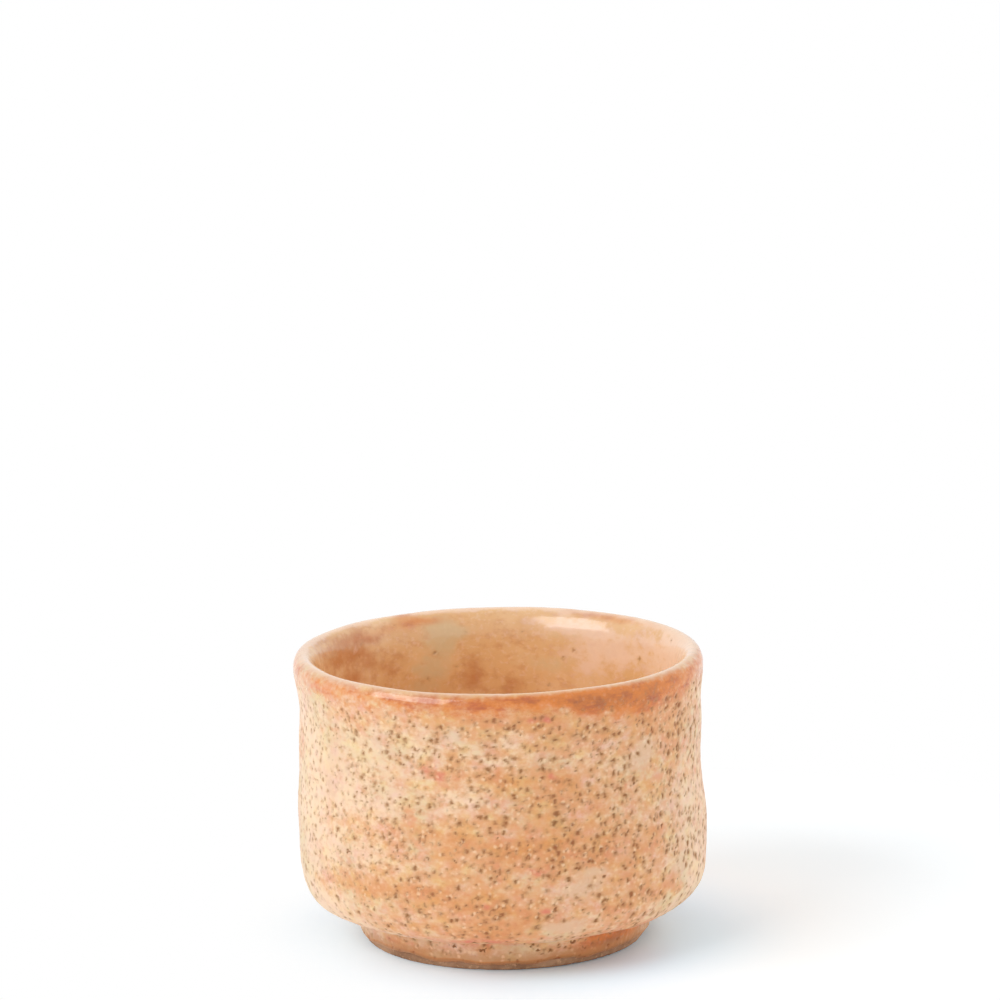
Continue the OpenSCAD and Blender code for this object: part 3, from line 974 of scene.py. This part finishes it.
def bare_clay():
    """Matte fired clay: brown, darker in cloudy patches, with pale and dark grit."""
    material = bpy.data.materials.new("Bare stoneware")
    material.use_nodes = True
    wire = Wiring(material.node_tree)
    cloud = wire.noise(CLAY_NOISE)
    grit = wire.noise(GRIT_NOISE)
    colour = wire.blend(wire.step(cloud, 0.36, 0.66), CLAY, CLAY_DARK)
    colour = wire.blend(wire.times(wire.step(grit, 0.56, 0.7), 0.7), colour, CLAY_GRIT)
    colour = wire.blend(wire.times(wire.step(grit, 0.42, 0.32), 0.6), colour, CLAY_DARK)
    rough = {"Value": grit, "To Min": CLAY_SMOOTHEST, "To Max": CLAY_ROUGHEST}
    rough = wire.add("ShaderNodeMapRange", rough).outputs[0]
    raised = {"Height": grit, "Strength": GRIT_BUMP, "Distance": GRIT_DEPTH}
    raised = wire.add("ShaderNodeBump", raised).outputs[0]
    wire.surface(colour, rough, raised)
    return material


KILN = kiln_colour()
SPECKLED = glaze("Speckled glaze", KILN, bump=0.3)
RUSTY = glaze("Rust glaze", KILN, bump=0.12)
TAN = glaze("Tan glaze", KILN, bump=0.08)
STONEWARE = bare_clay()


# The cup's coats of glaze

# Greatest distance between rows, in millimetres
WALL_STEP = 0.27
HIP_STEP = 0.24
LIP_STEP = 0.24
FOOT_STEP = 0.17
RECESS_STEP = 0.3
CLAY_STEP = 0.24
# Rows of the lining, crowded towards the lip by a power, and the rows behind it
LINING_ROWS = 88
LINING_POWER = 1.4
LINING_BACK_ROWS = 22

bowl_coat("wall_coat", even(BELLY, BAND, WALL_STEP), SPECKLED, "wall_glaze")
bowl_coat("hip_coat", even(CREASE, BELLY, HIP_STEP), SPECKLED, "hip_glaze")
bowl_coat("lip_coat", even(BAND, LINING, LIP_STEP), RUSTY, "lip_glaze")
lining_along = LINING + (CENTRE - LINING) * np.linspace(0, 1, LINING_ROWS)[:, None] ** LINING_POWER
bowl_coat("lining_coat", lining_along, TAN, "inner_glaze", poles=True, back_rows=LINING_BACK_ROWS)

# Edge of a coat above bare clay: how much of its thickness rolls in, and over which length
ROLLED_IN = 0.92
ROLL_LENGTH = 0.7
# Glaze line of the foot: how far it wavers, how far up that reaches, and how far up relief is calmed
LINE_WAVER_H = 0.12
WAVER_REACH = 3.2
LINE_CALM = 0.8
# Rust on that line, how far up it and the thinned glaze reach, both also painted shade on the lower foot,
# and the rows of clay behind
LINE_RUST_AND_SHADE = 3.4
LINE_RUST_REACH = 1.1
LINE_THIN_AND_SHADE_REACH = 3.8
CLAY_ROWS = 6
# Recess: ripples and a thrown spiral in its ceiling, and where they fade towards the middle and the wall
RIPPLE_H = 0.05
RIPPLE_R = 8
SPIRAL_H = 0.07
SPIRAL_PITCH = 3.4
SPIRAL_R = 6
SPIRAL_CLEAR = 1.6
SPIRAL_FADE = 3
# Recess: how far its glaze line wavers, and how far up that reaches
RECESS_WAVER_H = 0.22
RECESS_WAVER_REACH = 2.4
# Recess: its colour shares, how far its rust reaches, and how rare its pits are and where they begin
RECESS_BLUSH = 0.35
RECESS_SMOOTH = 0.3
RECESS_RUST = 0.85
RECESS_RUST_REACH = 1.3
RECESS_PITS_RARE = 2.1
RECESS_PITS_R = 4
RECESS_PITS_FADE = 6
# Bare foot: height of its grain and its swell, up to where it is rough, and up to where it lifts
CLAY_GRAIN_H = 0.035
CLAY_SWELL_H = 0.04
ROUGH_Z = 1.6
ROUGH_FADE = 1.2
STANDING_Z = 0.4


def rolled(along):
    """How far the edge of a coat rolls in to the clay: a quarter of an ellipse over a short length."""
    before = 1 - np.clip(along / ROLL_LENGTH, 0, 1)
    return ROLLED_IN * GLAZE_T * (1 - np.sqrt(np.clip(1 - before ** 2, 0, 1)))


def foot_coat():
    """Coat on the outside of the foot: the profile below the crease, whose lower edge wavers and rolls in
    to the clay, closed behind by the clay of the foot and the flat under the bowl."""
    along = with_spares(even(0, CREASE, FOOT_STEP))
    fields = coat_fields(along)
    relief = fields.pop("relief") * ease(along / LINE_CALM) - rolled(along)
    waver = LINE_WAVER_H * waves(AZIMUTH, along * 0, LINE_WAVER)
    lift = waver * (1 - ease(along / WAVER_REACH))
    r, z, out_r, out_z = profile(along)
    outer = turned_points(r + relief * out_r, z + relief * out_z + lift)
    # Rust and thinned glaze along the glaze line: partly real, partly painted shade on the lower foot
    fields["rust"] = fields["rust"] + LINE_RUST_AND_SHADE * (1 - ease(along / LINE_RUST_REACH))
    fields["halo"] = np.maximum(fields["halo"], 1 - ease(along / LINE_THIN_AND_SHADE_REACH))
    fields = {key: values[1:-1] for key, values in fields.items()}
    clay_z = np.linspace(GLAZE_LINE, JOINT_Z, CLAY_ROWS)
    clay_r = np.append(foot_radius(clay_z), CREASE_R)[:, None]
    clay_z = np.append(clay_z, JOINT_Z)[:, None]
    lift = waver[:1] * (1 - ease((clay_z - GLAZE_LINE) / WAVER_REACH))
    inner = turned_points(clay_r, clay_z + lift)
    shell("foot_coat", outer, inner, fields, SPECKLED, "foot_glaze")


def recess_coat():
    """Coat inside the foot: up the recess wall from the glaze line, round a pool in the corner and in to
    the middle of the ceiling, with ripples and a sine wave wound into a spiral; closed by the clay."""
    wall = RECESS_R - GLAZE_T
    pool_z = UNDER_Z - RECESS_ROUND
    points, along, _ = laid_out([
        straight((wall, GLAZE_LINE), (wall, pool_z)),
        sweep(wall - RECESS_ROUND, pool_z, RECESS_ROUND, RECESS_ROUND, 0, 90),
        straight((wall - RECESS_ROUND, UNDER_Z), (0, UNDER_Z)),
    ])
    steps = with_spares(even(0, along[-1], RECESS_STEP))
    r, z = (np.interp(steps, along, points[:, k]) for k in (0, 1))
    ripple = RIPPLE_H * waves(AZIMUTH, steps, RIPPLE) * ease(r / RIPPLE_R)
    spiral = SPIRAL_H * np.sin(TURN * r / SPIRAL_PITCH - AZIMUTH)
    spiral = spiral * ease(r / SPIRAL_R) * ease((wall - SPIRAL_CLEAR - r) / SPIRAL_FADE)
    waver = RECESS_WAVER_H * waves(AZIMUTH, steps * 0, RECESS_WAVER)
    waver = waver * (1 - ease(steps / RECESS_WAVER_REACH))
    outer = turned_points(r + rolled(steps), z + ripple + spiral + waver)
    # Rows on the clay behind, one of them a millimetre below the corner and one half way in
    clay = np.array([
        (RECESS_R, GLAZE_LINE), (RECESS_R, JOINT_Z - 1), (RECESS_R, JOINT_Z),
        (RECESS_R / 2, JOINT_Z), (0, JOINT_Z)])
    inner = turned_points(clay[:, :1], clay[:, 1:])
    pits = np.clip(waves(AZIMUTH, steps, RECESS_PITS) - RECESS_PITS_RARE, 0, 1)
    none = np.zeros_like(pits)
    fields = {
        "pinhole": pits * ease((r - RECESS_PITS_R) / RECESS_PITS_FADE),
        "halo": none, "red": none, "gloss": none, "lining": none,
        "blush": none + RECESS_BLUSH, "smooth": none + RECESS_SMOOTH,
        "rust": none + RECESS_RUST * (1 - ease(steps / RECESS_RUST_REACH)),
    }
    fields = {key: values[1:-1] for key, values in fields.items()}
    shell("recess_coat", outer, inner, fields, SPECKLED, "recess_glaze", poles=True, inward=True)


def foot_clay():
    """Bare foot ring: its profile runs in a loop down the recess, round both edges of the standing face, up
    the outside and in under the bowl, roughened by fine noise that never sinks below the table."""
    points, along, _ = laid_out([
        straight((RECESS_R, JOINT_Z), (RECESS_R, FOOT_EDGE)),
        sweep(RECESS_R + FOOT_EDGE, FOOT_EDGE, FOOT_EDGE, FOOT_EDGE, 180, 270),
        straight((RECESS_R + FOOT_EDGE, 0), (FOOT_R - FOOT_EDGE, 0)),
        sweep(FOOT_R - FOOT_EDGE, FOOT_EDGE, FOOT_EDGE, FOOT_EDGE, -90, 0),
        straight((FOOT_R, FOOT_EDGE), (FOOT_TOP_R, JOINT_Z)),
        straight((FOOT_TOP_R, JOINT_Z), (RECESS_R, JOINT_Z)),
    ])
    steps = even(0, along[-1], CLAY_STEP)[:-1]
    r, z = (np.interp(steps, along, points[:, k]) for k in (0, 1))
    grain = CLAY_GRAIN_H * waves(AZIMUTH, steps, CLAY_GRAIN)
    swell = CLAY_SWELL_H * waves(AZIMUTH, steps, CLAY_SWELL)
    rough = (grain + swell) * (1 - ease((z - ROUGH_Z) / ROUGH_FADE))
    middle = (RECESS_R + FOOT_R) / 2
    side = np.clip((r - middle) / (FOOT_R - middle), -1, 1)
    lift = np.abs(rough) * (1 - side ** 2) * (z < STANDING_Z)
    points = turned_points(r + rough * side, np.maximum(z + lift, 0)).reshape(-1, 3)
    grid = np.arange(len(points)).reshape(-1, COLUMNS)
    quads = band(grid, np.roll(grid, -1, 0))
    triangles = np.zeros((0, 3), int)
    flat = np.zeros(len(quads), bool)
    normals = np.zeros_like(points)
    mesh_piece("foot_clay", points, quads, triangles, flat, {}, normals, STONEWARE, "foot_ring")


foot_coat()
recess_coat()
foot_clay()
clay_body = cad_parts["clay_body"]
for place in clay_body.material_slots:
    place.material = STONEWARE


# Floor, light and camera

# Side of the photograph in pixels, and of the camera's sensor in millimetres
PHOTO = 1000
SENSOR = 36.0
# The photograph's line of sight: a point on it, the pixel where that lies, its rise, the camera's distance
# in metres, the camera's tilt, and the scale at that point
SIGHT_POINT = Vector((0, 0, LEAN_Z * MM))
SIGHT_PIXEL = (501.5, 791.4)
SIGHT_RISE = math.radians(14.5)
SIGHT_DISTANCE = 0.796
SIGHT_TILT = math.radians(0.9)
PIXELS_PER_METRE = 6158.0
# Half the side of the table, and the middle of the cup's shadow, about which the table turns to plain white
# from one distance to another; all in metres
FLOOR_HALF = 3.0
SHADOW_MIDDLE = (0.035, 0.020, 0)
WHITE_FROM = 0.048
WHITE_BY = 0.085
# Colour of the table: as it lights the cup, and as the camera sees it near the cup's axis and away from it,
# between two distances in metres. It is cool near the cup to make up for the warm light off the glaze
TABLE = (1.12, 1.12, 1.12, 1)
TABLE_NEAR = (0.86, 1.11, 1.31, 1)
TABLE_FAR = (1.13, 1.17, 1.19, 1)
NEAR_FROM = 0.022
NEAR_BY = 0.052
# Surroundings: their colour, and how strongly they light the cup
WHITE = (1, 1, 1, 1)
AMBIENT = 0.45
# Lamps: azimuth and rise in degrees, distance, width and height in metres, watts, and if gloss shows them
LAMPS = {
    "key": (-54, 34, 1.0, (0.76, 0.55), 4.5, True),
    "edge_left": (-128, 30, 1.0, (0.8, 0.8), 2.2, False),
    "edge_right": (112, 34, 1.0, (1.4, 1.0), 4.0, False),
    "fill": (62, 30, 1.2, (1.2, 1.0), 2.1, False),
}


def background_rays(wire):
    """Two masks: rays that look at the background, from the camera, from gloss or through glass, and those
    from the camera alone."""
    path = wire.add("ShaderNodeLightPath", {}).outputs
    seen = wire.sums("MAXIMUM", path["Is Camera Ray"], path["Is Glossy Ray"])
    return wire.sums("MAXIMUM", seen, path["Is Transmission Ray"]), path["Is Camera Ray"]


def lay_floor():
    """White table: keeps the cup's shadow and turns to plain white round about it."""
    floor = bpy.data.objects.new("floor", bpy.data.meshes.new("floor"))
    corners = [(-FLOOR_HALF, -FLOOR_HALF, 0), (FLOOR_HALF, -FLOOR_HALF, 0),
               (FLOOR_HALF, FLOOR_HALF, 0), (-FLOOR_HALF, FLOOR_HALF, 0)]
    floor.data.from_pydata(corners, [], [(0, 1, 2, 3)])
    bpy.context.collection.objects.link(floor)
    material = bpy.data.materials.new("White table")
    material.use_nodes = True
    tree = material.node_tree
    tree.nodes.clear()
    wire = Wiring(tree)
    background, camera = background_rays(wire)
    here = wire.add("ShaderNodeTexCoord", {}).outputs["Object"]
    from_axis = wire.add("ShaderNodeVectorMath", {0: here}, operation="LENGTH").outputs["Value"]
    ends = {0: here, 1: SHADOW_MIDDLE}
    from_shadow = wire.add("ShaderNodeVectorMath", ends, operation="DISTANCE").outputs["Value"]
    white = wire.times(wire.step(from_shadow, WHITE_FROM, WHITE_BY), background)
    seen = wire.blend(wire.step(from_axis, NEAR_FROM, NEAR_BY), TABLE_NEAR, TABLE_FAR)
    colour = wire.blend(camera, TABLE, seen)
    table = wire.add("ShaderNodeBsdfDiffuse", {"Color": colour}).outputs[0]
    glow = wire.add("ShaderNodeEmission", {"Strength": 1.0}).outputs[0]
    mixed = wire.add("ShaderNodeMixShader", {0: white, 1: table, 2: glow}).outputs[0]
    wire.add("ShaderNodeOutputMaterial", {"Surface": mixed})
    floor.data.materials.append(material)


def light_studio():
    """White surroundings, a large soft lamp in front on the left, two behind that light the edges, and a
    weak one that fills the right. Only the first shows in the gloss."""
    world = bpy.data.worlds.new("Studio")
    bpy.context.scene.world = world
    world.use_nodes = True
    world.node_tree.nodes.clear()
    wire = Wiring(world.node_tree)
    background, _ = background_rays(wire)
    around = wire.add("ShaderNodeBackground", {"Color": WHITE, "Strength": AMBIENT}).outputs[0]
    seen = wire.add("ShaderNodeBackground", {"Color": WHITE, "Strength": 1.0}).outputs[0]
    mixed = wire.add("ShaderNodeMixShader", {0: background, 1: around, 2: seen}).outputs[0]
    wire.add("ShaderNodeOutputWorld", {"Surface": mixed})
    for name, (*place, in_gloss) in LAMPS.items():
        lamp_at(name, *place).visible_glossy = in_gloss


def lamp_at(name, azimuth, rise, distance, size, watts):
    """Soft lamp of a width and height, at an azimuth and a rise in degrees, facing the sight point."""
    lamp = bpy.data.lights.new(name, "AREA")
    lamp.shape = "RECTANGLE"
    lamp.size, lamp.size_y = size
    lamp.energy = watts
    turn, lift = math.radians(azimuth), math.radians(rise)
    away = Vector((math.sin(turn) * math.cos(lift), -math.cos(turn) * math.cos(lift), math.sin(lift)))
    made = bpy.data.objects.new(name, lamp)
    made.location = SIGHT_POINT + away * distance
    made.rotation_euler = away.to_track_quat("Z", "Y").to_euler()
    bpy.context.collection.objects.link(made)
    return made


def aim_camera():
    """Camera on the photograph's line of sight, tilted, then turned so that the sight point lies at its
    pixel: the turn takes the direction of that pixel to the line of sight."""
    back = Vector((0, -math.cos(SIGHT_RISE), math.sin(SIGHT_RISE)))
    level, upward = Vector((1, 0, 0)), Vector((0, math.sin(SIGHT_RISE), math.cos(SIGHT_RISE)))
    right = level * math.cos(SIGHT_TILT) - upward * math.sin(SIGHT_TILT)
    above = level * math.sin(SIGHT_TILT) + upward * math.cos(SIGHT_TILT)
    facing = Matrix((right, above, back)).transposed()
    data = bpy.data.cameras.new("camera")
    data.sensor_width = SENSOR
    focal = PIXELS_PER_METRE * SIGHT_DISTANCE
    data.lens = focal * SENSOR / PHOTO
    pixel = Vector((SIGHT_PIXEL[0] - PHOTO / 2, PHOTO / 2 - SIGHT_PIXEL[1], -focal))
    turn = pixel.rotation_difference(Vector((0, 0, -1))).to_matrix()
    camera = bpy.data.objects.new("camera", data)
    stand = Matrix.Translation(SIGHT_POINT + back * SIGHT_DISTANCE)
    camera.matrix_world = stand @ (facing @ turn).to_4x4()
    bpy.context.collection.objects.link(camera)
    bpy.context.scene.camera = camera


lay_floor()
light_studio()
aim_camera()
bpy.context.scene.view_settings.view_transform = "Standard"
